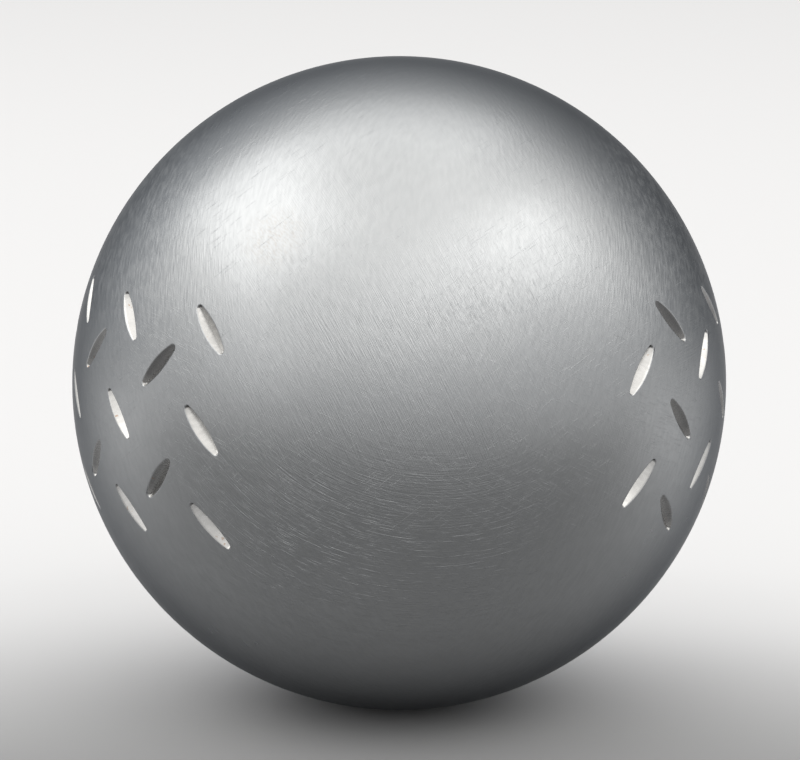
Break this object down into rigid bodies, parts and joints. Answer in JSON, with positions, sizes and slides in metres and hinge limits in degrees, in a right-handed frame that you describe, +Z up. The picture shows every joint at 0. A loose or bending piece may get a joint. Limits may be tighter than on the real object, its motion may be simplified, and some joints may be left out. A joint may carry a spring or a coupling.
{
  "type": "petanque boule",
  "caption": "Hollow steel ball for petanque: forged half shells, welded flush round the equator and satin finished, with a milled belt of short leaning slots and a bare patch in front.",
  "frame": {"origin": "centre of the ball", "axes": "+Z up, along the axis that the belt of slots and the weld run round; -Y towards the bare patch in front; +X to the right of it"},
  "size_m": [0.074, 0.074, 0.074],
  "materials": {
    "satin_steel": "satin"
  },
  "bodies": {
    "root": {"upper_half_shell": "satin_steel", "lower_half_shell": "satin_steel", "weld_seam": "satin_steel"}
  },
  "joints": []
}
